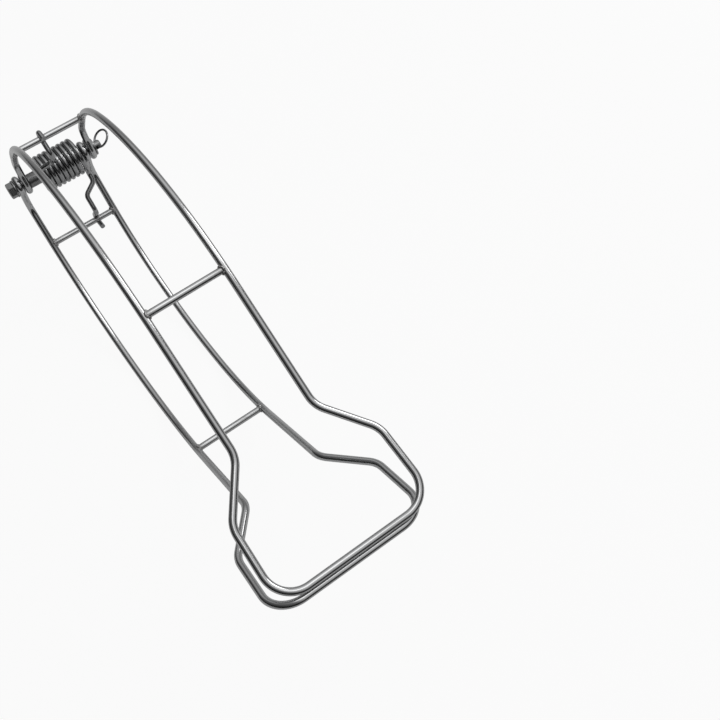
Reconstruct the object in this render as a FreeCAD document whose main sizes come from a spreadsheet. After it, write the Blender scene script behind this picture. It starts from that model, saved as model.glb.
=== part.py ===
"""Sprung wire jaws: two bowed rod jaws on one hinge bolt, held shut by a torsion spring.

The frame: the origin is on the hinge bolt's axis, midway between the legs. +X runs from the hinge to the
feet, +Y along the bolt from its head to its drilled end, and +Z from the lower jaw to the upper one. The
jaws close on the plane Z = 0.
"""
import FreeCAD, Part
import math
import os

import Sketcher

from FreeCAD import Placement, Rotation, Vector

doc = FreeCAD.newDocument("SprungJaws")


# ---------------------------------------------------------------- driving dimensions (mm, degrees)

SIZES = [
    ("rod_diameter", 6.0, "rod that each jaw is bent from"),
    ("rung_diameter", 5.5, "short rods welded between a jaw's legs"),
    ("leg_spacing", 66.0, "between the centre lines of a jaw's two legs"),
    ("rod_gap", 0.5, "side gap between the two jaws' rods"),
    ("closed_gap", 0.8, "between the two foot bars when the jaws are shut"),
    ("root_angle", 110.0, "way the rod leaves its eye, from +X towards +Z"),
    ("root_run", 10.0, "straight rod above the eye"),
    ("root_bend", 21.0, "radius of the tight bend at the hinge"),
    ("shoulder_angle", 53.5, "slope of the rod after the tight bend"),
    ("shoulder_run", 23.5, "straight rod at that slope"),
    ("crown_bend", 155.0, "radius of the bow's first part"),
    ("crown_angle", 22.5, "slope where the bow's two radii meet"),
    ("belly_bend", 229.0, "radius of the bow's second part"),
    ("tip_angle", 30.8, "slope at which the straight leg runs down to the foot"),
    ("foot_angle", 18.7, "slope of the foot"),
    ("flare_length", 39.5, "foot's flare, measured along the foot"),
    ("flare_width", 29.0, "foot's flare, measured outwards on each side"),
    ("side_length", 61.0, "upper foot's side, from the flare to the corner"),
    ("lower_reach", 2.7, "how much longer the lower foot's side is"),
    ("side_splay", 2.0, "how far a side spreads over its length"),
    ("ankle_bend", 22.0, "radius of the bends at both ends of the flare"),
    ("corner_bend", 22.0, "radius of the foot's corners"),
    ("hinge_rung_place", 62.5, "first rung, measured along the leg from its eye"),
    ("middle_rung_place", 335.0, "second rung, measured the same way"),
    ("bolt_diameter", 8.0, "hinge bolt"),
    ("bolt_clearance", 0.08, "all round the bolt in an eye"),
    ("head_flats", 13.0, "across the flats of the bolt's head"),
    ("head_height", 5.3, "bolt's head"),
    ("head_chamfer", 0.9, "height of the chamfer on the head's corners"),
    ("tip_chamfer", 0.8, "bolt's drilled end"),
    ("washer_diameter", 16.0, "both washers"),
    ("washer_thickness", 1.6, "both washers"),
    ("washer_clearance", 0.2, "all round the bolt in a washer"),
    ("face_gap", 0.2, "between an eye and the washer or tube beside it"),
    ("tube_diameter", 13.0, "outside of the spacer tube"),
    ("tube_clearance", 0.2, "all round the bolt in the spacer tube"),
    ("hole_setback", 0.25, "from the end washer to the near edge of the bolt's cross hole"),
    ("hole_to_end", 1.85, "from the cross hole's far edge to the bolt's end"),
    ("hole_clearance", 0.4288, "on both sides of the bowed ring in the cross hole"),
    ("ring_wire", 2.0, "retaining ring's wire"),
    ("ring_bend", 8.2, "retaining ring's centre line radius"),
    ("ring_stand", 35.0, "how far the ring stands up from the bolt's axis"),
    ("spring_wire", 4.5, "torsion spring's wire"),
    ("coil_bend", 15.0, "coil's centre line radius"),
    ("coil_gap", 0.2, "between neighbouring turns"),
    ("coil_full_turns", 8.0, "whole turns between the spring's two legs"),
    ("spring_leg_bend", 7.0, "radius of the bends in a spring leg"),
    ("jog_bend", 6.0, "radius of the two bends of a spring leg's sideways jog"),
    ("jog_start", 27.0, "from the hinge's axis to the jog's first bend"),
    ("jog_rise", 8.0, "from the jog's first bend to its second, outwards"),
    ("hook_place", 7.15, "hook's distance from the middle of the spring"),
    ("hook_shank", 17.0, "straight shank below the hook"),
    ("hook_clearance", 0.15, "between a hook and its rung"),
    ("hook_tail", 7.0, "straight end past the hook"),
    ("spring_side_gap", 0.3, "between the spring and the inner eye at the ring's end"),
]

WORKED_OUT = [
    ("eye_radius", "bolt_diameter / 2 + bolt_clearance + rod_diameter / 2"),
    ("jaw_shift", "(rod_diameter + rod_gap) / 2"),
    ("bar_offset", "lower_reach * cos(foot_angle)"),
    ("bar_drop", "sqrt((rod_diameter + closed_gap) ^ 2 - bar_offset ^ 2)"),
    ("bar_height", "(bar_drop + lower_reach * sin(foot_angle)) / 2"),
    ("eyes_inside", "leg_spacing / 2 - jaw_shift - rod_diameter / 2"),
    ("eyes_outside", "leg_spacing / 2 + jaw_shift + rod_diameter / 2"),
    ("washer_inside", "eyes_outside + face_gap"),
    ("washer_outside", "washer_inside + washer_thickness"),
    ("tube_length", "2 * (eyes_inside - face_gap)"),
    ("ring_bow", "ring_bend - sqrt(ring_bend ^ 2 - (bolt_diameter / 2) ^ 2)"),
    ("hole_diameter", "ring_wire + ring_bow + 2 * hole_clearance"),
    ("hole_place", "washer_outside + hole_setback + hole_diameter / 2"),
    ("bolt_end", "hole_place + hole_diameter / 2 + hole_to_end"),
    ("coil_pitch", "spring_wire + coil_gap"),
    ("hook_radius", "rung_diameter / 2 + hook_clearance + spring_wire / 2"),
]

dims = doc.addObject("Spreadsheet::Sheet", "Dims")
for row, (alias, value, meaning) in enumerate(SIZES, start=1):
    dims.set(f"A{row}", alias)
    dims.set(f"B{row}", str(value))
    dims.set(f"C{row}", meaning)
    dims.setAlias(f"B{row}", alias)
for row, (alias, formula) in enumerate(WORKED_OUT, start=len(SIZES) + 1):
    dims.set(f"A{row}", alias)
    dims.set(f"B{row}", "=" + formula)
    dims.setAlias(f"B{row}", alias)
doc.recompute()


# ---------------------------------------------------------------- centre lines of bent rod and wire

def heading(angle):
    """Unit vector in the XZ plane, turned from +X towards +Z by an angle in degrees."""
    return Vector(math.cos(math.radians(angle)), 0, math.sin(math.radians(angle)))


def bend_reach(radius, turn):
    """Length that a bend takes up on each side of its corner."""
    return radius * math.tan(math.radians(turn) / 2)


def bent_line(points, radii):
    """Straight edges through the points, with a tangent arc of its own radius at each inner one."""
    edges = []
    last = points[0]
    for before, corner, after, radius in zip(points, points[1:], points[2:], radii):
        way_in = (corner - before).normalize()
        way_out = (after - corner).normalize()
        half_turn = way_in.getAngle(way_out) / 2
        reach = radius * math.tan(half_turn)
        inward = (way_out - way_in).normalize()
        start = corner - way_in * reach
        middle = corner + inward * (radius / math.cos(half_turn) - radius)
        end = corner + way_out * reach
        if (start - last).Length > 1e-6:
            edges.append(Part.LineSegment(last, start).toShape())
        edges.append(Part.Arc(start, middle, end).toShape())
        last = end
    if (points[-1] - last).Length > 1e-6:
        edges.append(Part.LineSegment(last, points[-1]).toShape())
    return edges


def flipped(point):
    """The same point on the other side of the jaw's middle plane."""
    return Vector(point.x, -point.y, point.z)


def turned_over(point):
    """The same point after half a turn about the X axis."""
    return Vector(point.x, -point.y, -point.z)


def leg_corners(reach):
    """Corners of one leg from its eye to the foot's corner, in the jaw's own frame, at +Y.

    Reach is how much longer than the upper foot's side this jaw's is.
    """
    side = Vector(0, dims.leg_spacing / 2, 0)
    root_turn = dims.root_angle - dims.shoulder_angle
    crown_turn = dims.shoulder_angle - dims.crown_angle
    belly_turn = dims.crown_angle + dims.tip_angle
    root_reach = bend_reach(dims.root_bend, root_turn)
    crown_reach = bend_reach(dims.crown_bend, crown_turn)
    belly_reach = bend_reach(dims.belly_bend, belly_turn)

    eye = heading(dims.root_angle - 90) * dims.eye_radius + side
    root = eye + heading(dims.root_angle) * (dims.root_run + root_reach)
    shoulder = root + heading(dims.shoulder_angle) * (root_reach + dims.shoulder_run + crown_reach)
    belly = shoulder + heading(dims.crown_angle) * (crown_reach + belly_reach)

    # The straight leg is as long as brings the upper foot's bar down to its height.
    foot_way = heading(-dims.foot_angle)
    foot_drop = (dims.flare_length + dims.side_length) * -foot_way.z
    leg_drop = belly.z - dims.bar_height - foot_drop
    neck = belly + heading(-dims.tip_angle) * (leg_drop / math.sin(math.radians(dims.tip_angle)))
    ankle = neck + foot_way * dims.flare_length + Vector(0, dims.flare_width, 0)
    corner = ankle + foot_way * (dims.side_length + reach) + Vector(0, dims.side_splay, 0)
    return [eye, root, shoulder, belly, neck, ankle, corner]


def eye_arc(side):
    """Eye round the bolt, from its free end to the leg; the end stops clear of the leg."""
    stop_turn = math.degrees(math.acos(1 - (dims.rod_diameter + dims.rod_gap) / dims.eye_radius))
    leg_at = dims.root_angle - 90
    end_at = leg_at + stop_turn - 360
    on_eye = [heading(angle) * dims.eye_radius + side for angle in (end_at, (end_at + leg_at) / 2, leg_at)]
    return Part.Arc(*on_eye).toShape()


def jaw_line(reach):
    """Whole centre line of one jaw, from eye to eye, in the jaw's own frame."""
    leg = leg_corners(reach)
    radii = [dims.root_bend, dims.crown_bend, dims.belly_bend,
             dims.ankle_bend, dims.ankle_bend, dims.corner_bend]
    points = [flipped(point) for point in leg] + leg[::-1]
    side = Vector(0, dims.leg_spacing / 2, 0)
    edges = [eye_arc(-side)] + bent_line(points, radii + radii[::-1]) + [eye_arc(side)]
    return Part.Wire(Part.__sortEdges__(edges))


def place_on_leg(distance):
    """Point of the leg's centre line, in the middle plane, at a distance along it from its eye."""
    leg = leg_corners(0)
    radii = [dims.root_bend, dims.crown_bend, dims.belly_bend, dims.ankle_bend, dims.ankle_bend]
    for edge in bent_line(leg, radii):
        if distance <= edge.Length:
            point = edge.valueAt(edge.getParameterByLength(distance))
            return Vector(point.x, 0, point.z)
        distance -= edge.Length
    raise ValueError("the rung's place is past the end of the leg")


# ---------------------------------------------------------------- jaws: alike but for the foot's length, one turned over

UPSIDE_DOWN = Rotation(Vector(1, 0, 0), 180)
JAWS = {
    "upper_jaw": (0, Placement(Vector(0, dims.jaw_shift, 0), Rotation())),
    "lower_jaw": (dims.lower_reach, Placement(Vector(0, -dims.jaw_shift, 0), UPSIDE_DOWN)),
}
RUNGS = {"hinge_rung": dims.hinge_rung_place, "middle_rung": dims.middle_rung_place}
ALONG_Y = Rotation(Vector(1, 0, 0), -90)

sub_parts = []


def swept_rod(name, line, placement):
    """Round rod along a centre line, with its section bound to the rod's diameter."""
    spine = doc.addObject("Part::Feature", name + "_line")
    spine.Shape = line
    section = doc.addObject("Part::Circle", name + "_section")
    section.setExpression("Radius", "Dims.rod_diameter / 2")
    first = line.OrderedEdges[0]
    start = first.valueAt(first.FirstParameter)
    way = first.tangentAt(first.FirstParameter)
    section.Placement = Placement(start, Rotation(Vector(0, 0, 1), way))
    rod = doc.addObject("Part::Sweep", name)
    rod.Sections = [section]
    rod.Spine = (spine, [f"Edge{number}" for number in range(1, len(line.Edges) + 1)])
    rod.Solid = True
    rod.Frenet = False
    rod.Placement = placement
    return rod


def welded_rung(name, frame, placement, middle):
    """Rung along Y between the two legs, its ends coped to the legs' round sides."""
    bar = doc.addObject("Part::Cylinder", name + "_bar")
    bar.setExpression("Radius", "Dims.rung_diameter / 2")
    bar.setExpression("Height", "Dims.leg_spacing")
    start = middle - Vector(0, dims.leg_spacing / 2, 0)
    bar.Placement = placement.multiply(Placement(start, ALONG_Y))
    rung = doc.addObject("Part::Cut", name)
    rung.Base = bar
    rung.Tool = frame
    return rung


for jaw, (reach, placement) in JAWS.items():
    frame = swept_rod(jaw + "_frame", jaw_line(reach), placement)
    frame.Label = jaw + "_frame"
    sub_parts.append(frame)
    for rung_name, distance in RUNGS.items():
        label = f"{jaw[:5]}_{rung_name}"
        rung = welded_rung(label, frame, placement, place_on_leg(distance))
        rung.Label = label
        sub_parts.append(rung)


# ---------------------------------------------------------------- hinge: bolt, washers and spacer tube

def origin_plane(body, role):
    """One of a body's own origin planes."""
    return next(item for item in body.Origin.OriginFeatures if item.Role == role)


def attach_across_y(body, item, y_place):
    """Puts a sketch or primitive on the body's XZ plane, moved along Y; its own Z points to -Y."""
    item.AttachmentSupport = [(origin_plane(body, "XZ_Plane"), "")]
    item.MapMode = "FlatFace"
    item.setExpression("AttachmentOffset.Base.z", f"-({y_place})")


def bolt_body():
    """Hex-headed bolt: head, shank, chamfers and the cross hole for the retaining ring."""
    body = doc.addObject("PartDesign::Body", "hinge_bolt")

    head = body.newObject("PartDesign::AdditivePrism", "Head")
    head.Polygon = 6
    head.setExpression("Circumradius", "Dims.head_flats / 2 / cos(30)")
    head.setExpression("Height", "Dims.head_height")
    attach_across_y(body, head, "-Dims.washer_outside")

    shank = body.newObject("PartDesign::AdditiveCylinder", "Shank")
    shank.setExpression("Radius", "Dims.bolt_diameter / 2")
    shank.setExpression("Height", "Dims.bolt_end + Dims.washer_outside")
    attach_across_y(body, shank, "Dims.bolt_end")

    hole = body.newObject("PartDesign::SubtractiveCylinder", "CrossHole")
    hole.setExpression("Radius", "Dims.hole_diameter / 2")
    hole.setExpression("Height", "Dims.bolt_diameter * 2")
    hole.AttachmentSupport = [(origin_plane(body, "YZ_Plane"), "")]
    hole.MapMode = "FlatFace"
    hole.setExpression("AttachmentOffset.Base.x", "Dims.hole_place")
    hole.setExpression("AttachmentOffset.Base.z", "-Dims.bolt_diameter")
    doc.recompute()

    tip_edge = edge_name(body, lambda edge: is_ring_at(edge, dims.bolt_end, dims.bolt_diameter / 2))
    tip = body.newObject("PartDesign::Chamfer", "TipChamfer")
    tip.Base = (hole, [tip_edge])
    tip.setExpression("Size", "Dims.tip_chamfer")
    doc.recompute()

    # The head's outer corners are turned down by a cone, as on any pressed hex head.
    half_flats = dims.head_flats / 2
    corner = half_flats / math.cos(math.radians(30))
    head_top = -(dims.washer_outside + dims.head_height)
    groove_sketch = body.newObject("Sketcher::SketchObject", "CornerSketch")
    groove_sketch.AttachmentSupport = [(origin_plane(body, "XY_Plane"), "")]
    groove_sketch.MapMode = "FlatFace"
    outline = [
        Vector(half_flats - 0.2, head_top - 1, 0),
        Vector(half_flats - 0.2, head_top, 0),
        Vector(corner + 0.5, head_top + dims.head_chamfer, 0),
        Vector(corner + 0.5, head_top - 1, 0),
    ]
    for start, end in zip(outline, outline[1:] + outline[:1]):
        groove_sketch.addGeometry(Part.LineSegment(start, end), False)
    groove = body.newObject("PartDesign::Groove", "CornerTurning")
    groove.Profile = groove_sketch
    groove.ReferenceAxis = (groove_sketch, ["V_Axis"])
    groove.Angle = 360
    return body


def edge_name(body, wanted):
    """Name of the one edge of a body's shape that a test picks out."""
    edges = body.Shape.Edges
    return next(f"Edge{number}" for number, edge in enumerate(edges, start=1) if wanted(edge))


def is_ring_at(edge, y_place, radius):
    """True for a whole circle about the Y axis, of a given radius, at a given place."""
    curve = edge.Curve
    if not isinstance(curve, Part.Circle):
        return False
    return abs(curve.Radius - radius) < 1e-6 and abs(curve.Center.y - y_place) < 1e-6


def ring_body(label, outside, inside, y_place, length):
    """Plain ring or tube about the bolt: two circles padded from y_place towards -Y."""
    body = doc.addObject("PartDesign::Body", label)
    sketch = body.newObject("Sketcher::SketchObject", "Circles")
    attach_across_y(body, sketch, y_place)
    for number, diameter in enumerate((outside, inside)):
        sketch.addGeometry(Part.Circle(Vector(), Vector(0, 0, 1), number + 1), False)
        sketch.addConstraint(Sketcher.Constraint("Coincident", number, 3, -1, 1))
        rule = sketch.addConstraint(Sketcher.Constraint("Diameter", number, 2 * number + 2))
        sketch.setExpression(f"Constraints[{rule}]", diameter)
    pad = body.newObject("PartDesign::Pad", "Wall")
    pad.Profile = sketch
    pad.setExpression("Length", length)
    return body


hinge_bolt = bolt_body()
washer_hole = "Dims.bolt_diameter + 2 * Dims.washer_clearance"
tube_hole = "Dims.bolt_diameter + 2 * Dims.tube_clearance"
head_washer = ring_body("head_washer", "Dims.washer_diameter", washer_hole,
                        "-Dims.washer_inside", "Dims.washer_thickness")
end_washer = ring_body("end_washer", "Dims.washer_diameter", washer_hole,
                       "Dims.washer_outside", "Dims.washer_thickness")
spacer_tube = ring_body("spacer_tube", "Dims.tube_diameter", tube_hole,
                        "Dims.tube_length / 2", "Dims.tube_length")
for body in (hinge_bolt, head_washer, end_washer, spacer_tube):
    sub_parts.append(body)


# ---------------------------------------------------------------- retaining ring through the cross hole

def ring_placement():
    """The ring threads the cross hole, bowing evenly to both sides of it, and stands up at its angle."""
    way = Rotation(Vector(1, 0, 0), dims.ring_stand).multVec(Vector(0, 1, 0))
    centre = Vector(0, dims.hole_place, 0) + way * (dims.ring_bend - dims.ring_bow / 2)
    return Placement(centre, Rotation(Vector(1, 0, 0), dims.ring_stand))


ring = doc.addObject("Part::Torus", "retaining_ring")
ring.setExpression("Radius1", "Dims.ring_bend")
ring.setExpression("Radius2", "Dims.ring_wire / 2")
ring.Placement = ring_placement()
sub_parts.append(ring)


# ---------------------------------------------------------------- torsion spring

def spring_leg(rung):
    """Corners of the upper spring leg from the coil outwards, the bend radii, and the coil's start angle.

    The leg leaves the coil radially, jogs sideways towards the middle, bends up beside the rung and hooks
    over its far side. It is drawn about the spring's own middle.
    """
    side = Vector(0, -dims.hook_place, 0)
    centre = Vector(rung.x, 0, rung.z) + side
    wrap = 140
    step = wrap / 4
    out = math.degrees(math.atan2(rung.z, rung.x)) - 17
    for _ in range(12):
        shank_way = out + 86
        foot = centre + heading(shank_way + 90) * dims.hook_radius - heading(shank_way) * dims.hook_shank
        out = math.degrees(math.atan2(foot.z, foot.x))
    corner_radius = dims.hook_radius / math.cos(math.radians(step))
    first_wrap = centre + heading(shank_way + 90 - step) * corner_radius
    second_wrap = centre + heading(shank_way + 90 - 3 * step) * corner_radius
    tail = (centre + heading(shank_way + 90 - wrap) * dims.hook_radius
            + heading(shank_way - wrap) * dims.hook_tail)

    lift = dims.spring_leg_bend + 0.5
    swing = math.degrees(math.asin(lift / (dims.coil_bend + lift)))
    start_angle = out - swing
    half_coil = coil_turns(start_angle) * dims.coil_pitch / 2
    start = heading(start_angle) * dims.coil_bend + Vector(0, -half_coil, 0)
    lead = math.atan(dims.coil_pitch / (2 * math.pi * dims.coil_bend))
    way = heading(start_angle + 90) * math.cos(lead) - Vector(0, math.sin(lead), 0)
    exit_corner = start + way * (dims.coil_bend * math.tan(math.radians(swing)))
    jog_out = heading(out) * dims.jog_start + Vector(0, exit_corner.y, 0)
    jog_in = heading(out) * (dims.jog_start + dims.jog_rise) + side
    corners = [start, exit_corner, jog_out, jog_in, foot, first_wrap, second_wrap, tail]
    radii = [dims.spring_leg_bend, dims.jog_bend, dims.jog_bend,
             dims.spring_leg_bend, dims.hook_radius, dims.hook_radius]
    return corners, radii, start_angle


def coil_turns(start_angle):
    """Turns that bring the coil's far end to the mirror place of its near end."""
    return dims.coil_full_turns + start_angle / 180


def spring_solid(rung):
    """Coil and both hooked legs as one bent wire; the lower leg is the upper one turned over."""
    corners, radii, start_angle = spring_leg(rung)
    height = coil_turns(start_angle) * dims.coil_pitch
    coil = Part.makeHelix(dims.coil_pitch, height, dims.coil_bend)
    coil.Placement = Placement(Vector(0, -height / 2, 0), ALONG_Y.multiply(Rotation(Vector(0, 0, 1), -start_angle)))
    upper_leg = bent_line(corners, radii)
    lower_leg = bent_line([turned_over(point) for point in corners], radii)
    solids = []
    for edges in (upper_leg, coil.Edges, lower_leg):
        line = Part.Wire(Part.__sortEdges__(edges))
        first = line.OrderedEdges[0]
        start = first.valueAt(first.FirstParameter)
        way = first.tangentAt(first.FirstParameter)
        section = Part.Wire(Part.makeCircle(dims.spring_wire / 2, start, way))
        solids.append(line.makePipeShell([section], True, edges is coil.Edges))
    return solids


def spring_shift(rung):
    """How far the spring has slid along the tube, from its middle to the inner eye at the ring's end."""
    exit_corner = spring_leg(rung)[0][1]
    return dims.eyes_inside - dims.spring_side_gap - dims.spring_wire / 2 - abs(exit_corner.y)


spring = doc.addObject("Part::Feature", "torsion_spring")
hinge_rung = place_on_leg(dims.hinge_rung_place)
upper_leg_solid, coil_solid, lower_leg_solid = spring_solid(hinge_rung)
spring.Shape = coil_solid.fuse([upper_leg_solid, lower_leg_solid])
spring.Placement = Placement(Vector(0, spring_shift(hinge_rung), 0), Rotation())
sub_parts.append(spring)


# ---------------------------------------------------------------- checks and files

doc.recompute()
for item in doc.Objects:
    if {"Invalid", "Error"} & set(item.State):
        raise RuntimeError(f"{item.Label} failed: {item.State}")
for item in sub_parts:
    shape = item.Shape
    if shape.isNull() or not shape.isValid() or len(shape.Solids) != 1:
        raise RuntimeError(f"{item.Label} is not one valid solid")

os.makedirs("parts", exist_ok=True)
for item in sub_parts:
    item.Shape.exportStep(f"parts/{item.Label}.step")
    print(f"{item.Label:20s} {item.Shape.Volume:10.1f} mm3")
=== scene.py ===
import math

import bmesh
import bpy
import numpy as np
from mathutils import Matrix, Vector


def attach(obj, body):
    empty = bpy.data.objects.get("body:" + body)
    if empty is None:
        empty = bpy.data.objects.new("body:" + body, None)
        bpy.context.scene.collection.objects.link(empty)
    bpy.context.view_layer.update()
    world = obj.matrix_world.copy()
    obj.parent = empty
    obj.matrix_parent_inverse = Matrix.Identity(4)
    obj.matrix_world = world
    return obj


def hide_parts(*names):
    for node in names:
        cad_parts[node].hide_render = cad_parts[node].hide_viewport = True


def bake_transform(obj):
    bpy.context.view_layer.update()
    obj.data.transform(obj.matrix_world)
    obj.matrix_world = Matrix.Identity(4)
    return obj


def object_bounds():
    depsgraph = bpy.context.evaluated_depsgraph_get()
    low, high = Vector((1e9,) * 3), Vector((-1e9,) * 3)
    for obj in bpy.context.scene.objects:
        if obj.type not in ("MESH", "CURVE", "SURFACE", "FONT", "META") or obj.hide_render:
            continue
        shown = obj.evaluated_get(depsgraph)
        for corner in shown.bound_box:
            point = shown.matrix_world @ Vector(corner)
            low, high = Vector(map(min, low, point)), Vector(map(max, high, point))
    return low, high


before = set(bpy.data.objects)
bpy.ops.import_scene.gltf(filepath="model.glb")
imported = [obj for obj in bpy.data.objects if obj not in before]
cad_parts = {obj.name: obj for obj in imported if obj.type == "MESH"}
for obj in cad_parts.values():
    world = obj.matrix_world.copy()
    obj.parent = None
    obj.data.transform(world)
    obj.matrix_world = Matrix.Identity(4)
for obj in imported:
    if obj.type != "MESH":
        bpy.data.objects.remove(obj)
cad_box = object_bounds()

MM = 0.001


# ---------------------------------------------------------------- camera
# The jaws are seen from above and from the foot's end, turned so that the hinge lies up on the left
# and the foot comes down towards the viewer.

camera_data = bpy.data.cameras.new("camera")
camera_data.lens = 49.703
camera_data.clip_start = 0.01
camera = bpy.data.objects.new("camera", camera_data)
bpy.context.scene.collection.objects.link(camera)
camera_place = Vector((0.71182, -0.10282, 0.63824))
camera_right = Vector((0.58381, 0.80732, -0.08600))
camera_up = Vector((-0.65355, 0.53016, 0.54019))
camera_turn = Matrix((camera_right, camera_up, camera_right.cross(camera_up))).transposed()
camera.matrix_world = Matrix.Translation(camera_place) @ camera_turn.to_4x4()
bpy.context.scene.camera = camera
bpy.context.scene.view_settings.view_transform = "Standard"


# ---------------------------------------------------------------- floor, backdrop and light
# A white table in a studio: one broad soft light over the drilled end of the bolt, a weaker one over
# the foot, and a dim room with a paler wall behind the hinge. The camera sees only white, but metal
# mirrors the dim room and a table that is dark past the feet, and doesn't show the white backdrop.


class Channel:
    """One output of a node. Arithmetic on it adds Math nodes to the same tree."""

    def __init__(self, socket):
        self.socket = socket

    def worked(self, operation, *terms):
        """Adds one Math node that works on the given numbers and outputs."""
        node = self.socket.id_data.nodes.new("ShaderNodeMath")
        node.operation = operation
        for entry, term in zip(node.inputs, terms):
            if isinstance(term, Channel):
                self.socket.id_data.links.new(term.socket, entry)
            else:
                entry.default_value = term
        return Channel(node.outputs[0])

    def __add__(self, other):
        return self.worked("ADD", self, other)

    def __radd__(self, other):
        return self.worked("ADD", other, self)

    def __sub__(self, other):
        return self.worked("SUBTRACT", self, other)

    def __rsub__(self, other):
        return self.worked("SUBTRACT", other, self)

    def __mul__(self, other):
        return self.worked("MULTIPLY", self, other)

    def __rmul__(self, other):
        return self.worked("MULTIPLY", other, self)

    def __truediv__(self, other):
        return self.worked("DIVIDE", self, other)

    def __rtruediv__(self, other):
        return self.worked("DIVIDE", other, self)

    def __pow__(self, other):
        return self.worked("POWER", self, other)

    def __neg__(self):
        return self.worked("MULTIPLY", self, -1.0)


class Nodes:
    """A node tree being wired up, for a material, for the world or for a piece's geometry."""

    def __init__(self, tree):
        self.tree = tree
        tree.nodes.clear()

    def node(self, kind, settings=None, sockets=None, output=0):
        """Adds a node with its settings, fills its sockets, and gives one of its outputs."""
        node = self.tree.nodes.new(kind)
        for name, value in (settings or {}).items():
            if name == "stops":
                ramp = node.color_ramp
                for _ in value[2:]:
                    ramp.elements.new(0.5)
                for stop, (place, shade) in zip(ramp.elements, value):
                    stop.position = place
                    stop.color = (shade, shade, shade, 1.0)
            else:
                setattr(node, name, value)
        for name, value in (sockets or {}).items():
            entries = [s for s in node.inputs if s.enabled and name in (s.name, s.identifier)]
            for term in value if isinstance(value, list) else [value]:
                if isinstance(term, Channel):
                    self.tree.links.new(term.socket, entries[0])
                else:
                    entries[0].default_value = term
        outputs = [s for s in node.outputs if s.enabled]
        if isinstance(output, str):
            outputs = [s for s in outputs if s.name == output]
            output = 0
        return Channel(outputs[output]) if outputs else None

    def ramp(self, value, *stops):
        """A value between 0 and 1 read off a row of (place, shade) stops."""
        settings = {"stops": stops}
        return self.node("ShaderNodeValToRGB", settings, {"Fac": value})

    def noise(self, place, scale, detail=2.0, roughness=0.5):
        """Noise with a feature size of one over its scale, in metres."""
        sockets = {"Vector": place, "Scale": scale, "Detail": detail, "Roughness": roughness}
        return self.node("ShaderNodeTexNoise", None, sockets, "Fac")

    def mixed(self, factor, first, second):
        """Colour between two others."""
        sockets = {"Factor": factor, "A_Color": first, "B_Color": second}
        return self.node("ShaderNodeMix", {"data_type": "RGBA"}, sockets, "Result")


def grey(shade, warmth=0.0):
    """Grey colour of a given brightness, warmer or colder by a little."""
    return (shade + warmth, shade, shade - warmth, 1.0)


def new_material(name):
    """Material with an empty node tree, ready to be wired up."""
    material = bpy.data.materials.new(name)
    material.use_nodes = True
    return material, Nodes(material.node_tree)


table_size = 8.0
table_middle = 0.25
table_gap = 0.0005
table_height = cad_box[0].z - table_gap
half = table_size / 2
corners = [(-half, -half), (half, -half), (half, half), (-half, half)]
table_mesh = bpy.data.meshes.new("table")
table_mesh.from_pydata([(x + table_middle, y, table_height) for x, y in corners], [], [(0, 1, 2, 3)])
table = bpy.data.objects.new("table", table_mesh)
bpy.context.scene.collection.objects.link(table)

# The camera sees the table nearly white, and quite white far off. Metal mirrors a tenth of that glow
# over the lit paper, and a nearly black table past the feet.
table_white, t = new_material("white table")
seen = t.node("ShaderNodeLightPath", None, None, "Is Camera Ray")
mirrored = t.node("ShaderNodeLightPath", None, None, "Is Glossy Ray")
through = t.node("ShaderNodeLightPath", None, None, "Is Transmission Ray")
glow = t.node("ShaderNodeEmission", None, {"Color": grey(1.0), "Strength": 1.0})
place = t.node("ShaderNodeTexCoord", None, None, "Object")
away = t.node("ShaderNodeVectorMath", {"operation": "LENGTH"}, {"Vector": place}, "Value")
far_off = t.node("ShaderNodeMapRange", {"interpolation_type": "SMOOTHSTEP"},
                 {"Value": away, "From Min": 0.5, "From Max": 1.6})
footwards = t.node("ShaderNodeSeparateXYZ", None, {"Vector": place}, "X")
table_end = t.node("ShaderNodeMapRange", {"interpolation_type": "SMOOTHSTEP"},
                   {"Value": footwards, "From Min": 0.60, "From Max": 1.00})
paper = t.node("ShaderNodeBsdfDiffuse", None, {"Color": t.mixed(table_end, grey(0.66), grey(0.03))})
share = seen * (0.93 + 0.07 * far_off) + mirrored * 0.10 * (1.0 - table_end) + through * 0.93
surface = t.node("ShaderNodeMixShader", None, {"Fac": share, "Shader": paper, "Shader_001": glow})
t.node("ShaderNodeOutputMaterial", None, {"Surface": surface})
table_mesh.materials.append(table_white)

# The world is white to the camera alone. All else, mirrored metal too, is lit by the dim room.
world = bpy.data.worlds.new("studio")
bpy.context.scene.world = world
world.use_nodes = True
t = Nodes(world.node_tree)
direction = t.node("ShaderNodeTexCoord", None, None, "Generated")
across = t.node("ShaderNodeSeparateXYZ", None, {"Vector": direction}, "Y")
height = t.node("ShaderNodeSeparateXYZ", None, {"Vector": direction}, "Z")
lengthways = t.node("ShaderNodeSeparateXYZ", None, {"Vector": direction}, "X")
ceiling = t.ramp(height, (0.0, 0.02), (0.30, 0.05), (0.50, 0.42), (0.80, 0.82), (1.0, 0.90))
drilled_side = t.ramp(across * 0.5 + 0.5, (0.0, 0.04), (0.36, 0.22), (0.52, 0.85), (1.0, 1.0))
hinge_wall = t.ramp(lengthways * 0.5 + 0.5, (0.0, 0.32), (0.30, 0.26), (0.58, 0.0))
room = 0.01 + (ceiling + hinge_wall * (1.0 - height)) * drilled_side
seen = t.node("ShaderNodeLightPath", None, None, "Is Camera Ray")
backdrop = seen + (1.0 - seen) * room
t.node("ShaderNodeOutputWorld", None, {
    "Surface": t.node("ShaderNodeBackground", None, {"Color": grey(1.0), "Strength": backdrop})})

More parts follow.
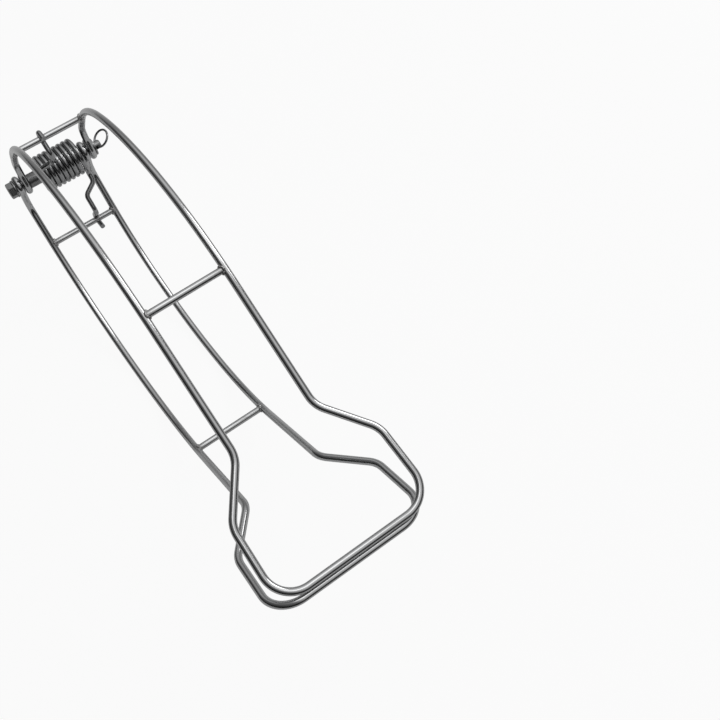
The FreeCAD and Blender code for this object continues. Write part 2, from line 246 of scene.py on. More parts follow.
lit_point = Vector((0.2, 0, 0))
for name, power, size, place in (
    ("soft light over the bolt's end", 7.0, 0.8, (0.10, 1.25, 1.10)),
    ("soft light overhead", 2.0, 0.8, (0.35, 0.10, 1.60)),
):
    lamp_data = bpy.data.lights.new(name, "AREA")
    lamp_data.energy = power
    lamp_data.size = size
    lamp = bpy.data.objects.new(name, lamp_data)
    lamp.location = place
    lamp.rotation_euler = (Vector(place) - lit_point).to_track_quat("Z", "Y").to_euler()
    bpy.context.scene.collection.objects.link(lamp)


# ---------------------------------------------------------------- bent jaw rods
# Each jaw is one 6 mm mild steel rod, cut to length, bent cold into two bowed legs with an eye at each
# free end and a foot in the middle, then bright plated. The lower jaw is the upper one turned over, and
# its foot is 2.7 mm longer.


def new_rule(name, outcome, **inputs):
    """Geometry tree with named inputs and one named outcome, its nodes, and a way to read an input."""
    tree = bpy.data.node_groups.new(name, "GeometryNodeTree")
    for label, kind in inputs.items():
        label = label.replace("_", " ")
        tree.interface.new_socket(label, in_out="INPUT", socket_type="NodeSocket" + kind)
    tree.interface.new_socket(outcome, in_out="OUTPUT", socket_type="NodeSocketGeometry")
    t = Nodes(tree)

    def given(label):
        return t.node("NodeGroupInput", None, None, label)

    return tree, t, given


def bent_wire_tree():
    """Rule for rod or wire bent at its corners, marked with each point's place in the straight rod."""
    tree, t, given = new_rule("rod bent at its corners", "Rod", Corners="Geometry", Diameter="Float",
                              Sides="Int", Step="Float", Finish="Material")
    line = t.node("GeometryNodeMeshToCurve", None, {"Mesh": given("Corners")})
    rounded = bends_rounded(t, line)
    t.node("NodeGroupOutput", None, {"Rod": swept(t, rounded, given)})
    return tree


def bends_rounded(t, line):
    """Each corner of a line rounded to the bend radius that the corner carries."""
    radius = t.node("GeometryNodeInputNamedAttribute", {"data_type": "FLOAT"}, {"Name": "bend"})
    sockets = {"Curve": line, "Count": 40, "Radius": radius, "Limit Radius": True}
    return t.node("GeometryNodeFilletCurve", {"mode": "POLY"}, sockets)


def swept(t, line, given):
    """Round section drawn along a line, bevelled at both ends over a tenth of its diameter."""
    evenly = t.node("GeometryNodeResampleCurve", {"mode": "LENGTH"},
                    {"Curve": line, "Length": given("Step")})
    along = t.node("GeometryNodeSplineParameter", None, None, "Length")
    total = t.node("GeometryNodeSplineLength", None, None, "Length")
    from_end = along.worked("MINIMUM", along, total - along)
    share = from_end / (given("Diameter") * 0.10)
    bevel = 0.86 + 0.14 * share.worked("MINIMUM", share, 1.0)
    marked = t.node("GeometryNodeStoreNamedAttribute", {"data_type": "FLOAT", "domain": "POINT"},
                    {"Geometry": evenly, "Name": "along", "Value": along})
    tapered = t.node("GeometryNodeSetCurveRadius", None, {"Curve": marked, "Radius": bevel})
    section = t.node("GeometryNodeCurvePrimitiveCircle", {"mode": "RADIUS"},
                     {"Resolution": given("Sides"), "Radius": given("Diameter") * 0.5})
    round_place = t.node("GeometryNodeInputPosition")
    section = t.node("GeometryNodeStoreNamedAttribute", {"data_type": "FLOAT_VECTOR", "domain": "POINT"},
                     {"Geometry": section, "Name": "round", "Value": round_place})
    skin = t.node("GeometryNodeCurveToMesh", None,
                  {"Curve": tapered, "Profile Curve": section, "Fill Caps": True})
    around = t.node("GeometryNodeInputNamedAttribute", {"data_type": "FLOAT_VECTOR"}, {"Name": "round"})
    far = t.node("GeometryNodeInputNamedAttribute", {"data_type": "FLOAT"}, {"Name": "along"})
    split = {axis: t.node("ShaderNodeSeparateXYZ", None, {"Vector": around}, axis) for axis in "XY"}
    straight = t.node("ShaderNodeCombineXYZ", None, {"X": split["X"], "Y": split["Y"], "Z": far})
    skin = t.node("GeometryNodeStoreNamedAttribute", {"data_type": "FLOAT_VECTOR", "domain": "POINT"},
                  {"Geometry": skin, "Name": "straight_rod", "Value": straight})
    real = t.node("GeometryNodeRealizeInstances", None, {"Geometry": skin})
    return t.node("GeometryNodeSetMaterial", None, {"Geometry": real, "Material": given("Finish")})


def grown(name, source, tree, sizes):
    """Runs a geometry tree on a mesh and keeps the outcome as a plain mesh object."""
    blank = bpy.data.objects.new(name + " blank", source)
    bpy.context.scene.collection.objects.link(blank)
    modifier = blank.modifiers.new("rule", "NODES")
    modifier.node_group = tree
    entries = {item.name: item.identifier for item in tree.interface.items_tree if item.in_out == "INPUT"}
    for label, value in sizes.items():
        modifier[entries[label]] = value
    ready = blank.evaluated_get(bpy.context.evaluated_depsgraph_get())
    mesh = bpy.data.meshes.new_from_object(ready)
    mesh.name = name
    bpy.data.objects.remove(blank)
    return finished(name, mesh)


def finished(name, mesh):
    """Mesh object with smooth faces, and sharp edges where faces turn by more than 34 degrees."""
    for attribute in ("bend", "along", "round", "order"):
        if attribute in mesh.attributes:
            mesh.attributes.remove(mesh.attributes[attribute])
    mesh.polygons.foreach_set("use_smooth", [True] * len(mesh.polygons))
    mesh.set_sharp_from_angle(angle=math.radians(34))
    piece = bpy.data.objects.new(name, mesh)
    bpy.context.scene.collection.objects.link(piece)
    return piece


def corner_mesh(corners):
    """Line through corner points in millimetres, each with its own bend radius."""
    mesh = bpy.data.meshes.new("corners")
    count = len(corners)
    places = [(x * MM, y * MM, z * MM) for x, y, z, _ in corners]
    mesh.from_pydata(places, [(n, n + 1) for n in range(count - 1)], [])
    bend = mesh.attributes.new("bend", "FLOAT", "POINT")
    bend.data.foreach_set("value", [corner[3] * MM for corner in corners])
    return mesh


def bare_metal(t, colour, rough, relief, strength, depth):
    """Metal of a varying colour, roughness and relief, with the relief's depth in millimetres."""
    bump = t.node("ShaderNodeBump", None, {"Strength": strength, "Distance": depth * MM, "Height": relief})
    metal = t.node("ShaderNodeBsdfPrincipled", None, {
        "Base Color": colour, "Metallic": 1.0, "Roughness": rough, "Normal": bump})
    t.node("ShaderNodeOutputMaterial", None, {"Surface": metal})


def drawn_finish(name, shade, roughness, streak, mottle, sheen_lines):
    """Bright plating over drawn wire: streaks along the rod, clouding, fine pits, welds and wear."""
    material, t = new_material(name)
    place = t.node("ShaderNodeAttribute", {"attribute_name": "straight_rod"}, None, "Vector")
    lengthways = t.node("ShaderNodeVectorMath", {"operation": "MULTIPLY"},
                        {"Vector": place, "Vector_001": (1.0, 1.0, 0.02)})
    fine = t.noise(lengthways, sheen_lines, 3.0, 0.6)
    broad = t.noise(lengthways, sheen_lines / 6, 2.0)
    cloud = t.noise(place, 90.0, 3.0, 0.55)
    speck = t.ramp(t.noise(place, 1400.0, 1.0), (0.70, 0.0), (0.80, 1.0))
    weld = t.node("ShaderNodeAttribute", {"attribute_name": "weld_heat"}, None, "Fac")
    rubbed = t.node("ShaderNodeAttribute", {"attribute_name": "hook_rub"}, None, "Fac")
    dulled = 0.30 * weld + 0.45 * rubbed * (0.4 + cloud)
    tone = 1.0 - streak * (broad - 0.5) - mottle * (cloud - 0.5) - 0.25 * speck - dulled
    colour = t.mixed(tone, grey(shade * 0.35, 0.01), grey(shade, -0.004))
    rough = roughness + 0.14 * (cloud - 0.35) + 0.10 * (fine - 0.5) + 0.12 * speck
    rough = rough + 0.22 * weld + 0.16 * rubbed
    relief = fine * 0.3 + broad * 0.5 - 0.3 * speck + cloud * 1.5
    bare_metal(t, colour, rough, relief, 0.25, 0.02)
    return material


rod_diameter = 6.0
leg_spacing = 66.0
rod_gap = 0.5
closed_gap = 0.8
bolt_diameter = 8.0
bolt_clearance = 0.08
root_angle = 110.0
root_run = 10.0
root_bend = 21.0
shoulder_angle = 53.5
shoulder_run = 23.5
crown_bend = 155.0
crown_angle = 22.5
belly_bend = 229.0
tip_angle = 30.8
foot_angle = 18.7
flare_length = 39.5
flare_width = 29.0
side_length = 61.0
side_splay = 2.0
lower_reach = 2.7
ankle_bend = 22.0
corner_bend = 22.0
weld_runs = [62.5, 335.0]
jaw_shift = (rod_diameter + rod_gap) / 2
eye_radius = bolt_diameter / 2 + bolt_clearance + rod_diameter / 2
eye_leg_side = root_angle - 90


def heading(angle):
    """Direction in the XZ plane, turned from +X towards +Z by an angle in degrees."""
    return Vector((math.cos(math.radians(angle)), 0, math.sin(math.radians(angle))))


def bend_reach(radius, turn):
    """Length that a bend takes up on each side of its corner."""
    return radius * math.tan(math.radians(turn) / 2)


def leg_corners(longer):
    """Corners of one leg with their bends, from its eye to the foot's corner, at +Y.

    Longer is how much longer than the upper foot's side this one is. The straight leg is as long as
    brings the upper foot's bar down to its height.
    """
    root_reach = bend_reach(root_bend, root_angle - shoulder_angle)
    crown_reach = bend_reach(crown_bend, shoulder_angle - crown_angle)
    belly_reach = bend_reach(belly_bend, crown_angle + tip_angle)
    eye = heading(eye_leg_side) * eye_radius + Vector((0, leg_spacing / 2, 0))
    root = eye + heading(root_angle) * (root_run + root_reach)
    shoulder = root + heading(shoulder_angle) * (root_reach + shoulder_run + crown_reach)
    belly = shoulder + heading(crown_angle) * (crown_reach + belly_reach)
    foot_way = heading(-foot_angle)
    bar_drop = math.sqrt((rod_diameter + closed_gap) ** 2 - (lower_reach * foot_way.x) ** 2)
    bar_height = (bar_drop - lower_reach * foot_way.z) / 2
    leg_drop = belly.z - bar_height + (flare_length + side_length) * foot_way.z
    neck = belly + heading(-tip_angle) * (leg_drop / math.sin(math.radians(tip_angle)))
    ankle = neck + foot_way * flare_length + Vector((0, flare_width, 0))
    corner = ankle + foot_way * (side_length + longer) + Vector((0, side_splay, 0))
    return [(eye, 0.0), (root, root_bend), (shoulder, crown_bend), (belly, belly_bend),
            (neck, ankle_bend), (ankle, ankle_bend), (corner, corner_bend)]


def place_on_leg(distance):
    """Place on a leg at a distance along the rod from its eye."""
    leg = leg_corners(0.0)
    last = leg[0][0]
    for (before, _), (corner, bend), (after, _) in zip(leg, leg[1:], leg[2:]):
        way_in = (corner - before).normalized()
        way_out = (after - corner).normalized()
        turn = way_in.angle(way_out)
        reach = bend * math.tan(turn / 2)
        straight = (corner - last).length - reach
        if distance <= straight:
            return last + way_in * distance
        distance -= straight
        if distance <= bend * turn:
            inward = (way_out - way_in * way_in.dot(way_out)).normalized()
            bent = distance / bend
            start = corner - way_in * reach
            return start + way_in * (bend * math.sin(bent)) + inward * (bend * (1 - math.cos(bent)))
        distance -= bend * turn
        last = corner + way_out * reach
    raise ValueError("the place is past the end of the leg")


weld_places = [(place.x, place.z) for place in map(place_on_leg, weld_runs)]
weld_inset = 2.0
weld_reach = 6.5


def eye_corners():
    """Corners that, rounded to the eye's radius, wrap the rod round the bolt from its free end."""
    stop_turn = math.degrees(math.acos(1 - (rod_diameter + rod_gap) / eye_radius))
    eye_free_end = eye_leg_side + stop_turn - 360
    sweep = eye_leg_side - eye_free_end
    pieces = 6
    step = sweep / pieces
    outside = eye_radius / math.cos(math.radians(step / 2))
    on_eye = math.radians(eye_free_end)
    side = leg_spacing / 2
    points = [(eye_radius * math.cos(on_eye), side, eye_radius * math.sin(on_eye), 0.0)]
    for number in range(pieces):
        turn = math.radians(eye_free_end + step * (number + 0.5))
        points.append((outside * math.cos(turn), side, outside * math.sin(turn), eye_radius - 0.001))
    return points


def jaw_corners(which):
    """Corners of a whole jaw rod from eye to eye, in its place."""
    longer = lower_reach if which == "lower" else 0.0
    leg = eye_corners() + [(*corner, bend) for corner, bend in leg_corners(longer)[1:]]
    line = leg + [(x, -y, z, bend) for x, y, z, bend in reversed(leg)]
    if which == "upper":
        return [(x, y + jaw_shift, z, bend) for x, y, z, bend in line]
    return [(x, -y - jaw_shift, -z, bend) for x, y, z, bend in line]


def mark_weld_heat(piece, which):
    """Marks how near each point of a rod or rung is to one of the jaw's four welds."""
    sign = 1 if which == "upper" else -1
    places = np.array([v.co for v in piece.data.vertices])
    heat = np.zeros(len(places))
    for x, z in weld_places:
        for side in (-1, 1):
            weld = np.array([x, side * (leg_spacing / 2 - weld_inset) + sign * jaw_shift, sign * z]) * MM
            away = np.linalg.norm(places - weld, axis=1)
            heat = np.maximum(heat, np.exp(-(away / (weld_reach * MM)) ** 2))
    piece.data.attributes.new("weld_heat", "FLOAT", "POINT").data.foreach_set("value", heat)


plated_rod = drawn_finish("bright plated rod", 0.54, 0.13, 0.30, 0.30, 2600.0)
bent_wire = bent_wire_tree()
for which in ("upper", "lower"):
    sizes = {"Diameter": rod_diameter * MM, "Sides": 32, "Step": 1.5 * MM, "Finish": plated_rod}
    rod = grown(which + "_bent_rod", corner_mesh(jaw_corners(which)), bent_wire, sizes)
    mark_weld_heat(rod, which)
    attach(rod, which + "_jaw")
    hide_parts(which + "_jaw_frame")


# ---------------------------------------------------------------- rungs
# Two straight 5.5 mm rods join the legs of each jaw, one just past the hinge, which the spring hooks
# onto, and one past the middle. They are cut from the same drawn stock and plated with the jaw.

rung_diameter = 5.5
rung_inset = 1.0
rung_names = ["hinge_rung", "middle_rung"]
hinge_rungs = {}

for which in ("upper", "lower"):
    sign = 1 if which == "upper" else -1
    for rung_name, (x, z) in zip(rung_names, weld_places):
        reach = leg_spacing / 2 - rung_inset
        ends = [(x, sign * jaw_shift + side * reach, sign * z, 0.0) for side in (-1, 1)]
        sizes = {"Diameter": rung_diameter * MM, "Sides": 32, "Step": 1.0 * MM, "Finish": plated_rod}
        rung = grown(f"{which}_{rung_name}_bar", corner_mesh(ends), bent_wire, sizes)
        mark_weld_heat(rung, which)
        if rung_name == "hinge_rung":
            hinge_rungs[which] = rung
        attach(rung, which + "_jaw")
        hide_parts(f"{which}_{rung_name}")


# ---------------------------------------------------------------- weld beads
# Every rung end is welded all round to the side of its leg. The plating covers the bead, which stays
# a little lumpy and duller than the rod.

bead_size = 1.05
bead_ripples = 34
bead_stand = 0.1
least_inset = 1.3
weld_slope = {weld_places[0]: 49.0, weld_places[1]: -30.8}


def weld_tree():
    """Rule for weld beads: uneven drops along each joint, melted together into one skin."""
    tree, t, given = new_rule("weld beads", "Beads", Joints="Geometry", Bead="Float", Unevenness="Float",
                              Fineness="Float", Seed="Int", Finish="Material")
    spread = {"Min": 1.0 - given("Unevenness"), "Max": 1.0 + given("Unevenness"), "Seed": given("Seed")}
    drop = t.node("FunctionNodeRandomValue", {"data_type": "FLOAT"}, spread)
    drops = t.node("GeometryNodeMeshToPoints", {"mode": "VERTICES"},
                   {"Mesh": given("Joints"), "Radius": given("Bead") * drop})
    molten = t.node("GeometryNodePointsToVolume", {"resolution_mode": "VOXEL_SIZE"},
                    {"Points": drops, "Voxel Size": given("Fineness"), "Radius": given("Bead") * drop})
    skin = t.node("GeometryNodeVolumeToMesh", {"resolution_mode": "GRID"},
                  {"Volume": molten, "Threshold": 0.1})
    real = t.node("GeometryNodeRealizeInstances", None, {"Geometry": skin})
    coated = t.node("GeometryNodeSetMaterial", None, {"Geometry": real, "Material": given("Finish")})
    t.node("NodeGroupOutput", None, {"Beads": coated})
    return tree


def joint_mesh(which):
    """Points round the joints of a jaw's four rung ends, on the line where rung and leg meet."""
    sign = 1 if which == "upper" else -1
    radius = rung_diameter / 2 + bead_stand
    places = []
    for x, z in weld_places:
        slope = math.radians(weld_slope[(x, z)])
        for side in (-1, 1):
            for number in range(bead_ripples):
                turn = 2 * math.pi * number / bead_ripples
                out, up = math.cos(turn) * radius, math.sin(turn) * radius
                inset = math.sqrt(max(rod_diameter ** 2 / 4 - out ** 2, 0.0))
                y = side * (leg_spacing / 2 - max(inset, least_inset) - bead_stand) + sign * jaw_shift
                forwards = -math.sin(slope) * out + math.cos(slope) * up
                upwards = math.cos(slope) * out + math.sin(slope) * up
                places.append(((x + forwards) * MM, y * MM, sign * (z + upwards) * MM))
    mesh = bpy.data.meshes.new("joints")
    mesh.from_pydata(places, [], [])
    return mesh


def weld_finish():
    """Plated weld metal: duller than the rod, with pits and a grainy skin."""
    material, t = new_material("plated weld")
    place = t.node("ShaderNodeTexCoord", None, None, "Object")
    lumps = t.noise(place, 900.0, 4.0, 0.6)
    grain = t.noise(place, 4000.0, 2.0)
    colour = t.mixed(t.ramp(lumps, (0.35, 0.0), (0.65, 1.0)), grey(0.26, 0.006), grey(0.56))
    bare_metal(t, colour, 0.30 + 0.25 * grain, lumps + grain * 0.4, 0.5, 0.1)
    return material


plated_weld = weld_finish()
welds = weld_tree()
for seed, which in enumerate(("upper", "lower"), start=3):
    sizes = {"Bead": bead_size * MM, "Unevenness": 0.24, "Fineness": 0.20 * MM, "Seed": seed,
             "Finish": plated_weld}
    beads = grown(which + "_weld_beads", joint_mesh(which), welds, sizes)
    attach(beads, which + "_jaw")


# ---------------------------------------------------------------- hinge bolt
# One 8 mm hex-headed bolt with a plain shank runs through all four eyes. Its head is pressed and
# turned down at the corners, its far end is drilled across for the ring, and all of it is zinc plated.

washer_outside = 41.05
half_flats = 6.5
head_height = 5.3
head_top = -(washer_outside + head_height)
hole_place = 43.25
hole_radius = 1.95
bolt_end = 47.05


def turned(name, profile, sides, finish, out_of_round=None):
    """Closed skin turned round the bolt's axis from (y, radius) points in millimetres."""
    work = bmesh.new()
    rings = []
    for y, radius in profile:
        if radius == 0:
            rings.append([work.verts.new((0, y * MM, 0))])
            continue
        ring = []
        for number in range(sides):
            turn = 2 * math.pi * number / sides
            reach = radius if out_of_round is None else out_of_round(y, radius, turn)
            ring.append(work.verts.new((reach * math.cos(turn) * MM, y * MM, reach * math.sin(turn) * MM)))
        rings.append(ring)
    closed = rings[0] if profile[0][1] and profile[-1][1] else None
    for ring, after in zip(rings, rings[1:] + ([closed] if closed else [])):
        for number in range(sides):
            near, far = number, (number + 1) % sides
            if len(ring) == 1:
                work.faces.new((ring[0], after[near], after[far]))
            elif len(after) == 1:
                work.faces.new((ring[near], after[0], ring[far]))
            else:
                work.faces.new((ring[near], after[near], after[far], ring[far]))
    bmesh.ops.recalc_face_normals(work, faces=work.faces)
    mesh = bpy.data.meshes.new(name)
    work.to_mesh(mesh)
    work.free()
    mesh.materials.append(finish)
    return mesh


def turned_finish(name, shade, roughness, ring_scale, clouding):
    """Satin zinc over turned or pressed steel: rings round the bolt's axis, clouding and handling marks."""
    material, t = new_material(name)
    place = t.node("ShaderNodeTexCoord", None, None, "Object")
    part = {axis: t.node("ShaderNodeSeparateXYZ", None, {"Vector": place}, axis) for axis in "XYZ"}
    radius = (part["X"] * part["X"] + part["Z"] * part["Z"]) ** 0.5
    lathe = t.node("ShaderNodeCombineXYZ", None, {"X": radius, "Y": part["Y"], "Z": 0.0})
    rings = t.noise(lathe, ring_scale, 3.0, 0.65)
    cloud = t.noise(place, 260.0, 4.0, 0.6)
    marks = t.ramp(t.noise(place, 1100.0, 2.0, 0.7), (0.62, 0.0), (0.72, 1.0))
    tone = 0.75 - clouding * (cloud - 0.5) - 0.25 * marks + 0.2 * (rings - 0.5)
    colour = t.mixed(tone, grey(shade * 0.4, 0.012), grey(shade * 1.15, -0.006))
    rough = roughness + 0.20 * (cloud - 0.4) + 0.12 * (rings - 0.5) + 0.15 * marks
    bare_metal(t, colour, rough, rings + cloud * 0.8 - 0.6 * marks, 0.35, 0.06)
    return material


def hexagonal(y, radius, turn):
    """Reach of the head at an angle: six flats with slightly rounded corners, turned down near its top."""
    if y > -washer_outside - 0.001 or radius < half_flats - 0.1:
        return radius
    facing = sum(max(math.cos(turn - math.radians(30 + 60 * side)), 0.0) ** 90 for side in range(6))
    flat = half_flats / facing ** (1 / 90)
    return min(flat, radius)


zinc = turned_finish("zinc plated bolt steel", 0.30, 0.22, 1500.0, 0.5)
bolt_profile = [
    (head_top + 0.30, 0),
    (head_top + 0.30, 3.6),
    (head_top + 0.12, 4.6),
    (head_top, 5.3),
    (head_top, 6.15),
    (head_top + 0.05, 6.35),
]
for share in (0.25, 0.5, 0.75, 1.0):
    fall = 0.55 * share
    bolt_profile.append((head_top + 0.05 + fall, 6.45 + fall * 1.75))
bolt_profile += [
    (head_top + 1.2, 7.6),
    (head_top + 2.6, 7.6),
    (-washer_outside - 0.5, 7.6),
    (-washer_outside - 0.12, 7.5),
    (-washer_outside, 6.2),
    (-washer_outside, 4.25),
    (-washer_outside + 0.3, 4.0),
    (0.0, 4.0),
    (bolt_end - 1.1, 4.0),
    (bolt_end - 0.8, 3.97),
    (bolt_end - 0.1, 3.27),
    (bolt_end, 3.1),
    (bolt_end, 0),
]
bolt_mesh = turned("hinge_bolt_turned", bolt_profile, 144, zinc, hexagonal)
drill = bmesh.new()
drill_place = Matrix.Translation((0, hole_place * MM, 0)) @ Matrix.Rotation(math.pi / 2, 4, "Y")
bmesh.ops.create_cone(drill, cap_ends=True, segments=48, radius1=hole_radius * MM,
                      radius2=hole_radius * MM, depth=12 * MM, matrix=drill_place)
drill_mesh = bpy.data.meshes.new("drill")
drill.to_mesh(drill_mesh)
drill.free()
blank = bpy.data.objects.new("bolt blank", bolt_mesh)
drill_bit = bpy.data.objects.new("drill", drill_mesh)
for tool in (blank, drill_bit):
    bpy.context.scene.collection.objects.link(tool)
cut = blank.modifiers.new("cross hole", "BOOLEAN")
cut.object = drill_bit
cut.operation = "DIFFERENCE"
cut.solver = "EXACT"
drilled = bpy.data.meshes.new_from_object(blank.evaluated_get(bpy.context.evaluated_depsgraph_get()))
for tool in (blank, drill_bit):
    bpy.data.objects.remove(tool)
hinge_bolt = finished("hinge_bolt_turned", drilled)
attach(hinge_bolt, "lower_jaw")
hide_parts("hinge_bolt")


# ---------------------------------------------------------------- washers
# A plain pressed washer lies under the bolt's head and another inside the ring, each outside the outer
# eye. Pressing leaves one face's edges rounded and the other's nearly sharp.

washer_inside = 39.45
washer_outline = [(0.0, 4.25), (0.0, 7.9), (0.1, 8.0), (1.15, 8.0), (1.42, 7.92), (1.55, 7.78), (1.6, 7.5),
                  (1.6, 4.6), (1.5, 4.3), (1.3, 4.2), (0.05, 4.2)]
for name, direction in (("head_washer", -1), ("end_washer", 1)):
    outline = [(direction * (washer_inside + depth), radius) for depth, radius in washer_outline]
    washer = finished(name + "_pressed", turned(name + "_pressed", outline, 96, zinc))
    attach(washer, "lower_jaw")
    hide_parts(name)


# ---------------------------------------------------------------- spacer tube
# A length of steel tube over the bolt's shank keeps the inner eyes apart and carries the coil. It is
# sawn square, broken at its edges and plated.

tube_length = 53.1
end = tube_length / 2
tube_outline = [(-end, 4.5), (-end, 6.2), (-end + 0.12, 6.42), (-end + 0.35, 6.5), (end - 0.35, 6.5),
                (end - 0.12, 6.42), (end, 6.2), (end, 4.5), (end - 0.3, 4.2), (-end + 0.3, 4.2)]
tube_steel = turned_finish("plated tube steel", 0.27, 0.30, 900.0, 0.6)
tube = finished("spacer_tube_sawn", turned("spacer_tube_sawn", tube_outline, 96, tube_steel))
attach(tube, "lower_jaw")
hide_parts("spacer_tube")


# ---------------------------------------------------------------- torsion spring
# A 4.5 mm spring wire coil sits over the spacer tube, slid along it against the inner eye at the ring's
# end. Both its legs leave the coil straight outwards, jog inwards and hook over the hinge rungs.

spring_wire = 4.5
coil_bend = 15.0
coil_gap = 0.2
coil_full_turns = 8.0
spring_leg_bend = 7.0
jog_bend = 6.0
jog_start = 27.0
jog_rise = 8.0
hook_place = 7.15
hook_shank = 17.0
hook_clearance = 0.15
hook_tail = 7.0
hook_wrap = 140.0
shank_lean = 86.0
hook_reach = 2.6
spring_side_gap = 0.3
coil_pitch = spring_wire + coil_gap
hook_radius = rung_diameter / 2 + hook_clearance + spring_wire / 2
eyes_inside = leg_spacing / 2 - jaw_shift - rod_diameter / 2


def spring_corners():
    """Corners of the upper leg about the spring's own middle, and the angle at which the coil starts.

    The leg leaves the coil straight outwards, jogs sideways towards the middle, bends up beside the
    rung and hooks over its far side.
    """
    rung_x, rung_z = weld_places[0]
    side = Vector((0, -hook_place, 0))
    centre = Vector((rung_x, 0, rung_z)) + side
    step = hook_wrap / 4
    out = math.degrees(math.atan2(rung_z, rung_x)) - 17
    for _ in range(12):
        shank = out + shank_lean
        foot = centre + heading(shank + 90) * hook_radius - heading(shank) * hook_shank
        out = math.degrees(math.atan2(foot.z, foot.x))
    wrap_radius = hook_radius / math.cos(math.radians(step))
    first_wrap = centre + heading(shank + 90 - step) * wrap_radius
    second_wrap = centre + heading(shank + 90 - 3 * step) * wrap_radius
    tail = centre + heading(shank + 90 - hook_wrap) * hook_radius + heading(shank - hook_wrap) * hook_tail
    lift = spring_leg_bend + 0.5
    swing = math.degrees(math.asin(lift / (coil_bend + lift)))
    start_angle = out - swing
    half_coil = coil_turns_from(start_angle) * coil_pitch / 2
    start = heading(start_angle) * coil_bend - Vector((0, half_coil, 0))
    lead = math.atan(coil_pitch / (2 * math.pi * coil_bend))
    way = heading(start_angle + 90) * math.cos(lead) - Vector((0, math.sin(lead), 0))
    leaving = start + way * (coil_bend * math.tan(math.radians(swing)))
    jog_out = heading(out) * jog_start + Vector((0, leaving.y, 0))
    jog_in = heading(out) * (jog_start + jog_rise) + side
    corners = [(start, 0.0), (leaving, spring_leg_bend), (jog_out, jog_bend), (jog_in, jog_bend),
               (foot, spring_leg_bend), (first_wrap, hook_radius), (second_wrap, hook_radius), (tail, 0.0)]
    return [(*corner, bend) for corner, bend in corners], start_angle


def coil_turns_from(start_angle):
    """Turns that bring the coil's far end to the mirror place of its near end."""
    return coil_full_turns + start_angle / 180


spring_leg, coil_start = spring_corners()
coil_turns = coil_turns_from(coil_start)
spring_shift = eyes_inside - spring_side_gap - spring_wire / 2 - abs(spring_leg[1][1])


def mark_hook_rub(rung, hook):
    """Marks how near each point of a hinge rung is to the spring's hook, which wears the plating."""
    along = np.array([v.co.y for v in rung.data.vertices]) / MM - hook
    rubbed = np.exp(-(along / hook_reach) ** 2)
    rung.data.attributes.new("hook_rub", "FLOAT", "POINT").data.foreach_set("value", rubbed)


mark_hook_rub(hinge_rungs["upper"], spring_shift - hook_place)
mark_hook_rub(hinge_rungs["lower"], spring_shift + hook_place)


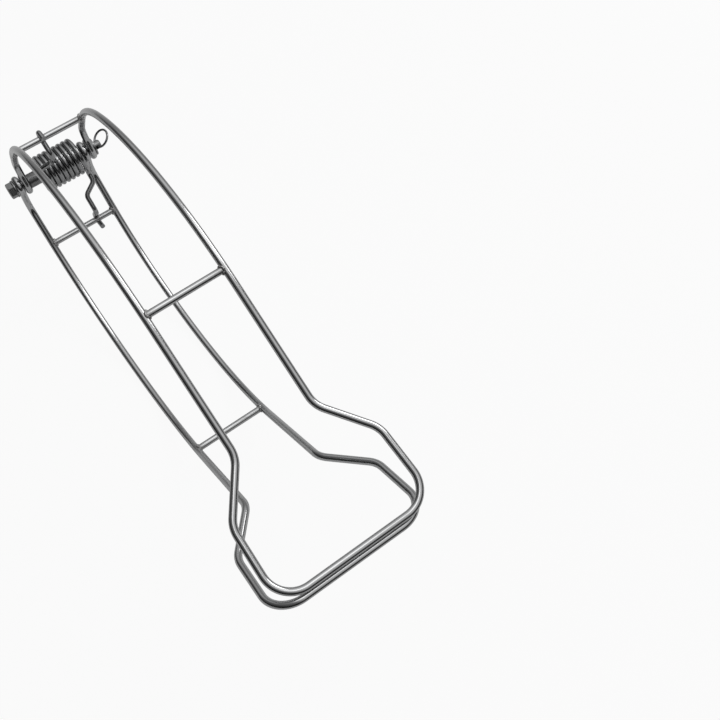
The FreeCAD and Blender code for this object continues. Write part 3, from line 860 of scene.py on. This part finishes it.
def spring_tree():
    """Rule for a torsion spring: an even coil between a leg and the same leg turned over."""
    tree, t, given = new_rule("torsion spring", "Spring", Leg="Geometry", Coil_radius="Float",
                              Pitch="Float", Turns="Float", Start_angle="Float", Coil_points="Int",
                              Diameter="Float", Sides="Int", Step="Float", Finish="Material")

    def in_order(points, rank):
        """Points marked with their place in the wire, from the lower hook to the upper one."""
        return t.node("GeometryNodeStoreNamedAttribute", {"data_type": "FLOAT", "domain": "POINT"},
                      {"Geometry": points, "Name": "order", "Value": rank})

    place = t.node("GeometryNodeInputIndex")
    leg = bends_rounded(t, t.node("GeometryNodeMeshToCurve", None, {"Mesh": given("Leg")}))
    upper = t.node("GeometryNodeCurveToPoints", {"mode": "EVALUATED"}, {"Curve": leg}, "Points")
    lower = t.node("GeometryNodeTransform", None, {"Geometry": upper, "Rotation": (math.pi, 0.0, 0.0)})
    way = (place + 0.5) / given("Coil points")
    turn = given("Start angle") - way * given("Turns") * (2 * math.pi)
    rise = (way - 0.5) * given("Turns") * given("Pitch")
    spot = t.node("ShaderNodeCombineXYZ", None, {
        "X": given("Coil radius") * turn.worked("COSINE", turn), "Y": rise,
        "Z": given("Coil radius") * turn.worked("SINE", turn)})
    coil = t.node("GeometryNodePoints", None, {"Count": given("Coil points"), "Position": spot})
    wire = t.node("GeometryNodeJoinGeometry", None, {"Geometry": [
        in_order(upper, -place), in_order(coil, place + 1.0), in_order(lower, place + 100000.0)]})
    order = t.node("GeometryNodeInputNamedAttribute", {"data_type": "FLOAT"}, {"Name": "order"})
    line = t.node("GeometryNodePointsToCurves", None, {"Points": wire, "Weight": order})
    t.node("NodeGroupOutput", None, {"Spring": swept(t, line, given)})
    return tree


spring_finish = drawn_finish("drawn spring wire", 0.37, 0.17, 0.45, 0.45, 2200.0)
sizes = {"Coil radius": coil_bend * MM, "Pitch": coil_pitch * MM, "Turns": coil_turns,
         "Start angle": math.radians(coil_start), "Coil points": 700, "Diameter": spring_wire * MM,
         "Sides": 28, "Step": 0.9 * MM, "Finish": spring_finish}
spring = grown("torsion_spring_wound", corner_mesh(spring_leg), spring_tree(), sizes)
spring.data.transform(Matrix.Translation((0, spring_shift * MM, 0)))
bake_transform(spring)
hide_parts("torsion_spring")


# ---------------------------------------------------------------- retaining ring
# A ring of 2 mm wire through the bolt's cross hole keeps the bolt in. It is wound round a bar and
# cut, so its two ends meet in a fine butt joint on the side away from the bolt.

ring_bend = 8.2
ring_wire = 2.0
ring_stand = math.radians(35)
ring_bow = ring_bend - math.sqrt(ring_bend ** 2 - (bolt_diameter / 2) ** 2)
ring_reach = ring_bend - ring_bow / 2
ring_centre = (0.0, hole_place + ring_reach * math.cos(ring_stand), ring_reach * math.sin(ring_stand))
ring_line = []
ring_points = 72
joint_turn = math.radians(62)
joint_gap = math.radians(1.3)
for number in range(ring_points + 1):
    turn = joint_turn + joint_gap / 2 + (2 * math.pi - joint_gap) * number / ring_points
    across, out = ring_bend * math.cos(turn), ring_bend * math.sin(turn)
    ring_line.append((across, ring_centre[1] + out * math.cos(ring_stand),
                      ring_centre[2] + out * math.sin(ring_stand), 0.0))
ring_finish = drawn_finish("bright ring wire", 0.28, 0.20, 0.3, 0.3, 4000.0)
sizes = {"Diameter": ring_wire * MM, "Sides": 20, "Step": 0.3 * MM, "Finish": ring_finish}
ring = grown("retaining_ring_wire", corner_mesh(ring_line), bent_wire, sizes)
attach(ring, "retaining_ring")
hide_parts("retaining_ring")
